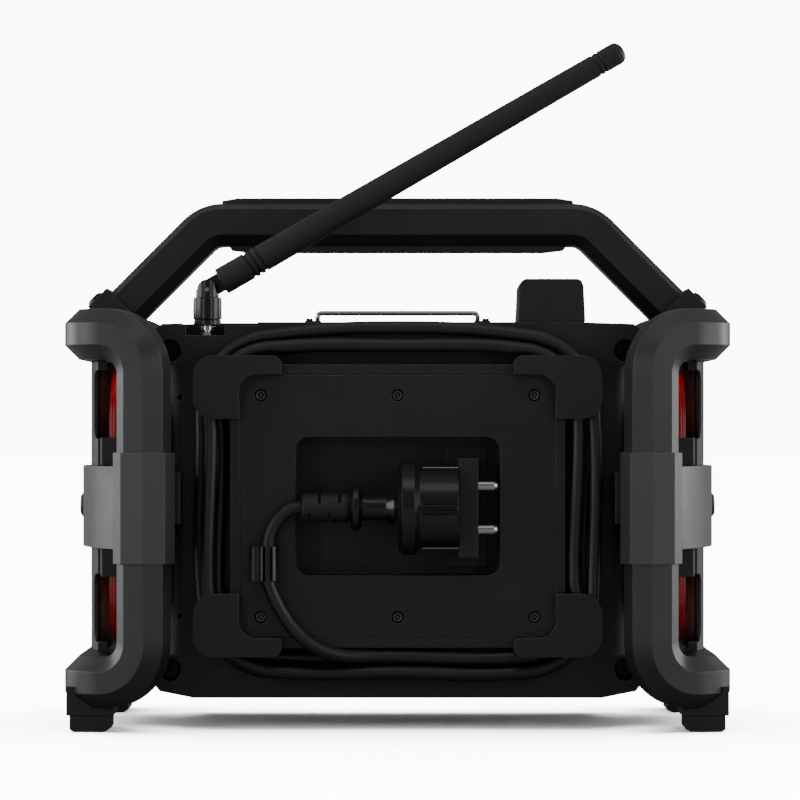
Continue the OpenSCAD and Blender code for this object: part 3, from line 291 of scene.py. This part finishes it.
def moulded(name, dark, light, rough, rough_spread=0.08, grain=900, grain_depth=0.12, wear=0.25,
            wear_colour=(0.22, 0.22, 0.225), edge=0.0006, metal=0.0, coat=0.0):
    """Material with colour variation, grain and worn edges. Colours are linear, grain is per metre."""
    made = bpy.data.materials.new(name)
    made.use_nodes = True
    tree = made.node_tree
    nodes = tree.nodes
    shader = nodes["Principled BSDF"]
    shader.inputs["Metallic"].default_value = metal
    shader.inputs["Coat Weight"].default_value = coat
    shader.inputs["Coat Roughness"].default_value = 0.12
    place = nodes.new("ShaderNodeTexCoord")

    patches = nodes.new("ShaderNodeTexNoise")
    patches.inputs["Scale"].default_value = 28
    patches.inputs["Detail"].default_value = 5
    patches.inputs["Roughness"].default_value = 0.6
    link(tree, place.outputs["Object"], patches.inputs["Vector"])
    tone = nodes.new("ShaderNodeMix")
    tone.data_type = "RGBA"
    tone.inputs[MIX_FIRST].default_value = (*dark, 1)
    tone.inputs[MIX_SECOND].default_value = (*light, 1)
    link(tree, patches.outputs["Fac"], tone.inputs[0])

    rounded = nodes.new("ShaderNodeBevel")
    rounded.samples = 4
    rounded.inputs["Radius"].default_value = edge
    true_normal = nodes.new("ShaderNodeNewGeometry")
    along = nodes.new("ShaderNodeVectorMath")
    along.operation = "DOT_PRODUCT"
    link(tree, rounded.outputs["Normal"], along.inputs[0])
    link(tree, true_normal.outputs["Normal"], along.inputs[1])
    scuff = nodes.new("ShaderNodeTexNoise")
    scuff.inputs["Scale"].default_value = 160
    scuff.inputs["Detail"].default_value = 6
    link(tree, place.outputs["Object"], scuff.inputs["Vector"])
    worn = nodes.new("ShaderNodeMapRange")
    worn.inputs["From Min"].default_value = 0.995
    worn.inputs["From Max"].default_value = 0.88
    worn.inputs["To Min"].default_value = 0
    worn.inputs["To Max"].default_value = wear
    link(tree, along.outputs["Value"], worn.inputs["Value"])
    broken = nodes.new("ShaderNodeMath")
    broken.operation = "MULTIPLY"
    link(tree, worn.outputs["Result"], broken.inputs[0])
    link(tree, scuff.outputs["Fac"], broken.inputs[1])
    edged = nodes.new("ShaderNodeMix")
    edged.data_type = "RGBA"
    edged.inputs[MIX_SECOND].default_value = (*wear_colour, 1)
    link(tree, broken.outputs["Value"], edged.inputs[0])
    link(tree, tone.outputs[MIX_COLOUR], edged.inputs[MIX_FIRST])
    link(tree, edged.outputs[MIX_COLOUR], shader.inputs["Base Color"])

    polish = nodes.new("ShaderNodeMapRange")
    polish.inputs["From Min"].default_value = 0.3
    polish.inputs["From Max"].default_value = 0.7
    polish.inputs["To Min"].default_value = rough - rough_spread
    polish.inputs["To Max"].default_value = rough + rough_spread
    link(tree, patches.outputs["Fac"], polish.inputs["Value"])
    link(tree, polish.outputs["Result"], shader.inputs["Roughness"])

    pits = nodes.new("ShaderNodeTexNoise")
    pits.inputs["Scale"].default_value = grain
    pits.inputs["Detail"].default_value = 3
    link(tree, place.outputs["Object"], pits.inputs["Vector"])
    bump = nodes.new("ShaderNodeBump")
    bump.inputs["Strength"].default_value = grain_depth
    bump.inputs["Distance"].default_value = 0.0004
    link(tree, pits.outputs["Fac"], bump.inputs["Height"])
    link(tree, rounded.outputs["Normal"], bump.inputs["Normal"])
    link(tree, bump.outputs["Normal"], shader.inputs["Normal"])
    print("made", name)
    return made


# %% The finishes of this radio
housing_black = moulded("housing_black", (0.0045, 0.0045, 0.0048), (0.0085, 0.0085, 0.009), 0.48)
guard_black = moulded("guard_black", (0.010, 0.010, 0.0105), (0.015, 0.015, 0.0155), 0.4,
                      grain=700, wear=0.3)
# The band's material is the guards' black plastic made paler. The paleness is painted light: it stands
# for the light that falls on the band's side. The knob caps, the volume marks and the display frame
# share it.
painted_light_grey = moulded("painted_light_grey", (0.022, 0.022, 0.023), (0.031, 0.031, 0.032), 0.4, grain=700, wear=0.3)
soft_black = moulded("soft_black", (0.004, 0.004, 0.004), (0.008, 0.008, 0.008), 0.6,
                     grain=1200, grain_depth=0.2, wear=0.0)
gloss_black = moulded("gloss_black", (0.004, 0.004, 0.0044), (0.007, 0.007, 0.0074), 0.24, 0.05,
                      grain_depth=0.04, wear=0.0)
cord_black = moulded("cord_black", (0.005, 0.005, 0.005), (0.009, 0.009, 0.009), 0.42,
                     grain=1500, wear=0.0)
red_gloss = moulded("red_gloss", (0.26, 0.002, 0.005), (0.34, 0.003, 0.007), 0.22, 0.04,
                    grain_depth=0.02, wear_colour=(0.5, 0.06, 0.07), coat=0.2)
zinc = moulded("zinc", (0.4, 0.4, 0.42), (0.55, 0.55, 0.56), 0.26, 0.08,
               grain=2500, grain_depth=0.05, wear_colour=(0.7, 0.7, 0.7), metal=1.0)
bright_chrome = moulded("bright_chrome", (0.7, 0.7, 0.72), (0.82, 0.82, 0.83), 0.1, 0.04,
                        grain_depth=0.02, wear_colour=(0.9, 0.9, 0.9), metal=1.0)
dark_steel = moulded("dark_steel", (0.015, 0.015, 0.017), (0.035, 0.035, 0.037), 0.32, metal=0.8)
screw_grey = moulded("screw_grey", (0.09, 0.09, 0.095), (0.14, 0.14, 0.145), 0.3, metal=1.0)
lit_amber = moulded("lit_amber", (0.75, 0.3, 0.05), (0.8, 0.35, 0.07), 0.4, grain_depth=0.01, wear=0.0)
glow = lit_amber.node_tree.nodes["Principled BSDF"]
glow.inputs["Emission Color"].default_value = (1.0, 0.42, 0.08, 1)
glow.inputs["Emission Strength"].default_value = 0.6
pale_print = moulded("pale_print", (0.5, 0.5, 0.5), (0.6, 0.6, 0.6), 0.5, wear=0.0)
cone_black = moulded("cone_black", (0.008, 0.008, 0.008), (0.02, 0.02, 0.02), 0.55,
                     grain=600, grain_depth=0.4)
solder_mask = moulded("solder_mask", (0.01, 0.08, 0.03), (0.015, 0.12, 0.045), 0.3)
smoked_cover = moulded("smoked_cover", (0.004, 0.005, 0.006), (0.008, 0.009, 0.011), 0.08, 0.02,
                       grain_depth=0.01, coat=0.5)

# %% Dress every solid of the frame
FINISH_OF_SLOT = {
    "housing_plastic": housing_black, "guard_plastic": guard_black, "band_plastic": painted_light_grey,
    "soft_plastic": soft_black, "cord_sheath": cord_black, "plug_plastic": gloss_black,
    "trim_red": red_gloss, "zinc_steel": zinc, "bright_wire": bright_chrome, "dark_screw": dark_steel,
    "board_green": solder_mask, "window_glass": smoked_cover, "cone_paper": cone_black,
}
for part in frame["record"]["subparts"]:
    solid = frame["nodes"][part["node"]]
    solid.data.materials.clear()
    solid.data.materials.append(FINISH_OF_SLOT[part["material_slot"]])
cord.data.materials.append(cord_black)

# %% [markdown]
# ## Pieces with more shape than the solids have
# Small parts that a hand or a close look reaches are modelled here with the operators one would use by
# hand: a primitive is added at its place and size, faces are picked by where they lie, and inset,
# extruded and bevelled. What repeats is shaped once, and copies of it are set at their places. The
# helpers below do the steps that every piece needs.

# %% Helpers for modelling
def nothing_selected():
    bpy.ops.object.select_all(action="DESELECT")


def pick(piece, test, kind="FACE"):
    """Enter edit mode with only those faces, edges or corners selected for which test is true."""
    if piece.mode != "EDIT":
        nothing_selected()
        bpy.context.view_layer.objects.active = piece
        piece.select_set(True)
        bpy.ops.object.mode_set(mode="EDIT")
    bpy.ops.mesh.select_mode(type=kind)
    bpy.ops.mesh.select_all(action="DESELECT")
    shape = bmesh.from_edit_mesh(piece.data)
    parts = {"FACE": shape.faces, "EDGE": shape.edges, "VERT": shape.verts}[kind]
    picked = 0
    for part in parts:
        if test(part):
            part.select_set(True)
            picked += 1
    shape.select_flush_mode()
    bmesh.update_edit_mesh(piece.data)
    return picked


def modify(piece, kind, **settings):
    """Add a modifier, set it and apply it."""
    nothing_selected()
    piece.select_set(True)
    bpy.context.view_layer.objects.active = piece
    changer = piece.modifiers.new(kind.lower(), kind)
    for key, value in settings.items():
        setattr(changer, key, value)
    bpy.ops.object.modifier_apply(modifier=changer.name)


def copies(piece, spots):
    """Set the piece at the first spot and a copy with its own mesh at each other one.

    A spot is a place and a turn about Y.
    """
    made = [piece]
    for _ in spots[1:]:
        nothing_selected()
        piece.select_set(True)
        bpy.context.view_layer.objects.active = piece
        bpy.ops.object.duplicate(linked=False)
        made.append(bpy.context.object)
    for one, (place, turn) in zip(made, spots):
        one.location = place
        one.rotation_euler.y = turn
    return made


def join(pieces, name):
    """Make one piece of several."""
    nothing_selected()
    for piece in pieces:
        piece.select_set(True)
    bpy.context.view_layer.objects.active = pieces[0]
    bpy.ops.object.join()
    pieces[0].name = name
    return pieces[0]


def settle(piece, body, finish, smooth=35):
    """Put the place into the mesh, close and orient it, and give it its body and finish."""
    if piece.mode != "OBJECT":
        bpy.ops.object.mode_set(mode="OBJECT")
    nothing_selected()
    piece.select_set(True)
    bpy.context.view_layer.objects.active = piece
    bpy.ops.object.transform_apply(location=True, rotation=True, scale=True)
    bpy.ops.object.mode_set(mode="EDIT")
    bpy.ops.mesh.select_all(action="SELECT")
    bpy.ops.mesh.remove_doubles(threshold=0.000001)
    bpy.ops.mesh.normals_make_consistent(inside=False)
    bpy.ops.object.mode_set(mode="OBJECT")
    bpy.ops.object.shade_smooth_by_angle(angle=math.radians(smooth))
    piece.data.materials.clear()
    piece.data.materials.append(finish)
    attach(piece, body)
    print("made", piece.name, len(piece.data.polygons), "faces")
    return piece


# %% [markdown]
# ## Cover screws
# The six screws of the rear cover sit in round sinks and have a star socket with a pin in its middle,
# the kind that a household driver doesn't open. A star could be cut with a boolean, but pulling corners
# keeps the faces clean. A cylinder's cap is inset, the corners of that inset are pulled in to make the
# six-pointed star, and the star is pushed down around a pin. The other five screws are copies.

# %% A screw with a star socket
SCREW_X, SCREW_LOW, SCREW_HIGH = 0.05965, 0.04945, 0.14615
HEAD_BACK, HEAD_TOP = 0.0566, 0.0648
HEAD_R = 0.0023
HEAD_CORNERS = 24
STAR_PULL = (1.0, 0.86, 0.68, 0.86)               # four corners make one point of the star
head_middle = (HEAD_TOP + HEAD_BACK) / 2
head_length = HEAD_TOP - HEAD_BACK

nothing_selected()
bpy.ops.mesh.primitive_cylinder_add(vertices=HEAD_CORNERS, radius=HEAD_R, depth=head_length,
                                    location=(-SCREW_X, head_middle, SCREW_LOW),
                                    rotation=(math.radians(90), 0, 0))
screw = bpy.context.object
pick(screw, lambda face: face.normal.z < -0.9)
bpy.ops.mesh.inset(thickness=0.0008)
shape = bmesh.from_edit_mesh(screw.data)
for corner in [corner for corner in shape.verts if corner.select]:
    step = round(math.atan2(corner.co.y, corner.co.x) * HEAD_CORNERS / math.tau)
    corner.co.x *= STAR_PULL[step % 4]
    corner.co.y *= STAR_PULL[step % 4]
bmesh.update_edit_mesh(screw.data)
print("star of", HEAD_CORNERS // 4, "points")

# %% The socket, its pin and the broken edge
bpy.ops.mesh.extrude_region_move(TRANSFORM_OT_translate={"value": (0, 0, 0)})
bpy.ops.transform.translate(value=(0, -0.0024, 0))
bpy.ops.mesh.inset(thickness=0.0004)
bpy.ops.mesh.extrude_region_move(TRANSFORM_OT_translate={"value": (0, 0, 0)})
bpy.ops.transform.translate(value=(0, 0.0019, 0))


def on_rim(corner):
    """True on the outer edge of the screw's face."""
    near = 0.00005
    return (abs(math.hypot(corner.co.x, corner.co.y) - HEAD_R) < near
            and abs(corner.co.z + head_length / 2) < near)


pick(screw, lambda edge: all(on_rim(corner) for corner in edge.verts), "EDGE")
bpy.ops.mesh.bevel(offset=0.0003, segments=2, affect="EDGES")
bpy.ops.object.mode_set(mode="OBJECT")
screw_spots = [((x, head_middle, z), 0) for x in (-SCREW_X, 0, SCREW_X) for z in (SCREW_LOW, SCREW_HIGH)]
screw_heads = join(copies(screw, screw_spots), "star_screws")
settle(screw_heads, "radio", screw_grey)
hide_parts("cover_screws")

# %% [markdown]
# ## The slit in the plug
# The plug's round body has a narrow moulded lip with a slit along it, on the side that faces the
# viewer. The slit could be cut into the plug's solid, but a solid of the frame is left as it is. So the
# lip is a piece of its own: a cube gets its edge by an inset, and the slit by a second one, pushed in.

# %% Slit of the plug
nothing_selected()
bpy.ops.mesh.primitive_cube_add(size=1, location=(-0.0181, 0.0874, 0.0972),
                                scale=(0.0166, 0.0016, 0.0022))
slit = bpy.context.object
bpy.ops.object.transform_apply(location=False, rotation=False, scale=True)
pick(slit, lambda face: face.normal.y > 0.9)
bpy.ops.mesh.inset(thickness=0.0003)
bpy.ops.transform.translate(value=(0, 0.0003, 0))
bpy.ops.mesh.inset(thickness=0.0003)
bpy.ops.transform.translate(value=(0, -0.0009, 0))
slit.name = "plug_slit"
settle(slit, "radio", gloss_black)

# %% [markdown]
# ## Speaker grilles
# Each side has a round speaker behind a slightly domed grille of fine rings on spokes. Its bars could
# be modelled one by one, but a net and a modifier are quicker and meet cleanly. A flat circle is drawn
# inwards ring by ring, raised a little less each time, and a Wireframe modifier turns its edges into
# bars. A stepped cap closes the middle. The right one is made by the same function and not as a mirrored
# copy, which would be turned inside out.

# %% Speaker grilles
GRILLE_R = 0.0502
GRILLE_X = 0.1218
GRILLE_RINGS = 15
GRILLE_SPOKES = 40
GRILLE_DOME = 0.0026
GRILLE_SPAN = 0.88            # part of the radius that has rings
MID_Z = 0.0972


def speaker_grille(side, name):
    nothing_selected()
    bpy.ops.mesh.primitive_circle_add(vertices=GRILLE_SPOKES, radius=GRILLE_R, fill_type="NOTHING",
                                      location=(side * GRILLE_X, 0, MID_Z),
                                      rotation=(0, side * math.radians(90), 0))
    grille = bpy.context.object
    bpy.ops.object.mode_set(mode="EDIT")
    bpy.ops.mesh.select_mode(type="EDGE")
    bpy.ops.mesh.select_all(action="SELECT")
    middle = (side * GRILLE_X, 0, MID_Z)
    for ring in range(GRILLE_RINGS):
        now = 1 - GRILLE_SPAN * ring / GRILLE_RINGS
        then = 1 - GRILLE_SPAN * (ring + 1) / GRILLE_RINGS
        rise = GRILLE_DOME * (now * now - then * then)
        bpy.ops.mesh.extrude_region_move(TRANSFORM_OT_translate={"value": (0, 0, 0)})
        bpy.ops.transform.resize(value=(then / now,) * 3, center_override=middle)
        bpy.ops.transform.translate(value=(side * rise, 0, 0))
    bpy.ops.object.mode_set(mode="OBJECT")
    modify(grille, "WIREFRAME", thickness=0.0009, use_even_offset=False)
    nothing_selected()
    bpy.ops.mesh.primitive_cylinder_add(vertices=GRILLE_SPOKES, radius=0.0072, depth=0.0012,
                                        location=(side * (GRILLE_X + GRILLE_DOME), 0, MID_Z),
                                        rotation=(0, side * math.radians(90), 0))
    cap = bpy.context.object
    pick(cap, lambda face: face.normal.z > 0.9)
    bpy.ops.mesh.inset(thickness=0.0012)
    bpy.ops.transform.translate(value=(side * 0.0004, 0, 0))
    bpy.ops.object.mode_set(mode="OBJECT")
    return settle(join([grille, cap], name), "radio", dark_steel, smooth=60)


speaker_grille(1, "speaker_grille_left")
speaker_grille(-1, "speaker_grille_right")

# %% [markdown]
# ## Knobs
# Both knobs have a turned cap with a dished face and one short pointer, and the panel has eleven short
# marks around the left one, so that its range can be read. The cap could be spun from a profile, but
# a cylinder is quicker: its face is inset three times, raised once for the rim and pushed in twice for
# the dish. The pointer and the marks are flat bars with a raised middle. The tuning knob's pieces are
# copies of the volume knob's.

# %% Knob caps and pointers
KNOB_X, KNOB_Z = 0.064, 0.1232
KNOB_FACE = -0.077
PANEL_FACE = -0.057


def bar(place, size):
    """Flat bar with a raised middle that lies on a face towards the front."""
    nothing_selected()
    bpy.ops.mesh.primitive_cube_add(size=1, location=place, scale=size)
    piece = bpy.context.object
    bpy.ops.object.transform_apply(location=False, rotation=False, scale=True)
    pick(piece, lambda face: face.normal.y < -0.9)
    bpy.ops.mesh.inset(thickness=min(size[0], size[2]) * 0.2)
    bpy.ops.transform.translate(value=(0, -size[1] * 0.3, 0))
    bpy.ops.object.mode_set(mode="OBJECT")
    return piece


nothing_selected()
bpy.ops.mesh.primitive_cylinder_add(vertices=64, radius=0.0125, depth=0.0012,
                                    location=(-KNOB_X, KNOB_FACE - 0.0004, KNOB_Z),
                                    rotation=(math.radians(90), 0, 0))
cap = bpy.context.object
pick(cap, lambda face: face.normal.z > 0.9)
for thickness, push in ((0.0009, -0.0004), (0.0008, 0.0007), (0.006, 0.0002)):
    bpy.ops.mesh.inset(thickness=thickness)
    bpy.ops.transform.translate(value=(0, push, 0))
bpy.ops.object.mode_set(mode="OBJECT")
pointer = bar((-KNOB_X, KNOB_FACE - 0.0008, KNOB_Z + 0.0085), (0.0012, 0.0012, 0.005))
caps = copies(cap, [((x, KNOB_FACE - 0.0004, KNOB_Z), 0) for x in (-KNOB_X, KNOB_X)])
pointers = copies(pointer, [((x, KNOB_FACE - 0.0008, KNOB_Z + 0.0085), 0) for x in (-KNOB_X, KNOB_X)])
for knob, cap, pointer in zip(("volume", "tuning"), caps, pointers):
    cap.name = knob + "_cap"
    pointer.name = knob + "_cap_pointer"
    settle(cap, knob, painted_light_grey)
    settle(pointer, knob, red_gloss)

# %% Marks around the volume knob
MARKS_R = 0.0192
MARK_STEP = 28                # degrees


def mark_spot(step):
    turn = math.radians(MARK_STEP * (step - 5))
    place = (-KNOB_X + MARKS_R * math.sin(turn), PANEL_FACE - 0.0001, KNOB_Z + MARKS_R * math.cos(turn))
    return place, turn


long_spots = [mark_spot(step) for step in (0, 5, 10)]
short_spots = [mark_spot(step) for step in range(11) if step % 5]
marks = copies(bar(long_spots[0][0], (0.0009, 0.0005, 0.0038)), long_spots)
marks += copies(bar(short_spots[0][0], (0.0009, 0.0005, 0.0026)), short_spots)
settle(join(marks, "volume_marks"), "radio", painted_light_grey)

# %% [markdown]
# ## Display
# The window is a smoked pane. Behind it glow the digits of a station, each of up to seven bars, and a
# thin frame holds the pane. The digits could be text, but a real display has separate bars, so one flat
# and one upright bar are copied to their places. They lie on the pane's face, where light seems to come
# through it. The frame is a plane with rounded corners, of which an inset leaves only a strip, and
# Solidify and Bevel give that strip its body.

# %% Digits of the display
PANE_FACE = -0.056
FIGURES_Z = 0.1312
DIGIT_H, DIGIT_W, STROKE = 0.017, 0.0095, 0.0016
BAR_DEPTH = 0.0003
BARS_OF = {"1": "bc", "0": "abcdef", "4": "bcfg", "2": "abdeg"}
BAR_PLACES = {                # named a to g, as on any seven-bar display
    "a": (0, DIGIT_H / 2), "g": (0, 0), "d": (0, -DIGIT_H / 2),
    "b": (DIGIT_W / 2, DIGIT_H / 4), "c": (DIGIT_W / 2, -DIGIT_H / 4),
    "e": (-DIGIT_W / 2, -DIGIT_H / 4), "f": (-DIGIT_W / 2, DIGIT_H / 4),
}
flat_spots = []
upright_spots = []
for x, figure in ((-0.024, "1"), (-0.008, "0"), (0.008, "4"), (0.028, "2")):
    for key in BARS_OF[figure]:
        dx, dz = BAR_PLACES[key]
        spots = flat_spots if key in "adg" else upright_spots
        spots.append(((x + dx, PANE_FACE - 0.0001, FIGURES_Z + dz), 0))
flat_bar = bar(flat_spots[0][0], (DIGIT_W - 0.0024, BAR_DEPTH, STROKE))
figures = copies(flat_bar, flat_spots)
upright_bar = bar(upright_spots[0][0], (STROKE, BAR_DEPTH, DIGIT_H / 2 - 0.0022))
figures += copies(upright_bar, upright_spots)
figures.append(bar((0.0175, PANE_FACE - 0.0001, FIGURES_Z - DIGIT_H / 2), (STROKE, BAR_DEPTH, STROKE)))
settle(join(figures, "display_figures"), "radio", lit_amber)

# %% Frame of the display
nothing_selected()
bpy.ops.mesh.primitive_plane_add(size=1, location=(0, PANEL_FACE - 0.0001, FIGURES_Z),
                                 rotation=(math.radians(90), 0, 0))
frame_strip = bpy.context.object
frame_strip.scale = (0.0885, 0.0385, 1)
bpy.ops.object.transform_apply(location=False, rotation=False, scale=True)
pick(frame_strip, lambda corner: True, "VERT")
bpy.ops.mesh.bevel(offset=0.006, segments=6, affect="VERTICES")
bpy.ops.mesh.select_all(action="SELECT")
bpy.ops.mesh.inset(thickness=0.0021)
bpy.ops.mesh.delete(type="FACE")
bpy.ops.object.mode_set(mode="OBJECT")
modify(frame_strip, "SOLIDIFY", thickness=0.0008, offset=0)
modify(frame_strip, "BEVEL", width=0.00025, segments=2, limit_method="ANGLE")
frame_strip.name = "display_frame"
settle(frame_strip, "radio", painted_light_grey)

# %% [markdown]
# ## Numbers on the buttons
# The five buttons store stations, so they carry plain numbers. Drawing digits by hand would take long
# and look uneven, so each number starts as text, becomes a mesh, and rides on its own button.

# %% Numbers
BUTTON_FACE = -0.0586
for number in range(1, 6):
    nothing_selected()
    bpy.ops.object.text_add(location=(-0.057 + 0.019 * number, BUTTON_FACE + 0.0001, 0.0932),
                            rotation=(math.radians(90), 0, 0))
    text = bpy.context.object
    text.data.body = str(number)
    text.data.size = 0.0075
    text.data.align_x = "CENTER"
    text.data.align_y = "CENTER"
    text.data.extrude = 0.0002
    bpy.ops.object.convert(target="MESH")
    text = bpy.context.object
    text.name = "button_number_%d" % number
    settle(text, "key_%d" % number, pale_print)

# %% [markdown]
# ## Ribs on the grip
# The upper pad on the handle has low ribs across it so that a gloved hand doesn't slip. A bump in the
# material would not show on the outline, so they are real. One rib is a bar whose top is inset and
# raised, and it is copied along the pad, each copy with its own mesh.

# %% Grip ribs
GRIP_TOP = 0.2352
RIB_COUNT = 17
RIB_PITCH = 0.0075
FIRST_RIB_X = -0.06
nothing_selected()
bpy.ops.mesh.primitive_cube_add(size=1, location=(FIRST_RIB_X, 0, GRIP_TOP),
                                scale=(0.003, 0.0165, 0.0004))
rib = bpy.context.object
bpy.ops.object.transform_apply(location=False, rotation=False, scale=True)
pick(rib, lambda face: face.normal.z > 0.9)
bpy.ops.mesh.inset(thickness=0.0006)
bpy.ops.transform.translate(value=(0, 0, 0.0001))
bpy.ops.object.mode_set(mode="OBJECT")
ribs = copies(rib, [((FIRST_RIB_X + RIB_PITCH * step, 0, GRIP_TOP), 0) for step in range(RIB_COUNT)])
settle(join(ribs, "grip_ribs"), "radio", soft_black)
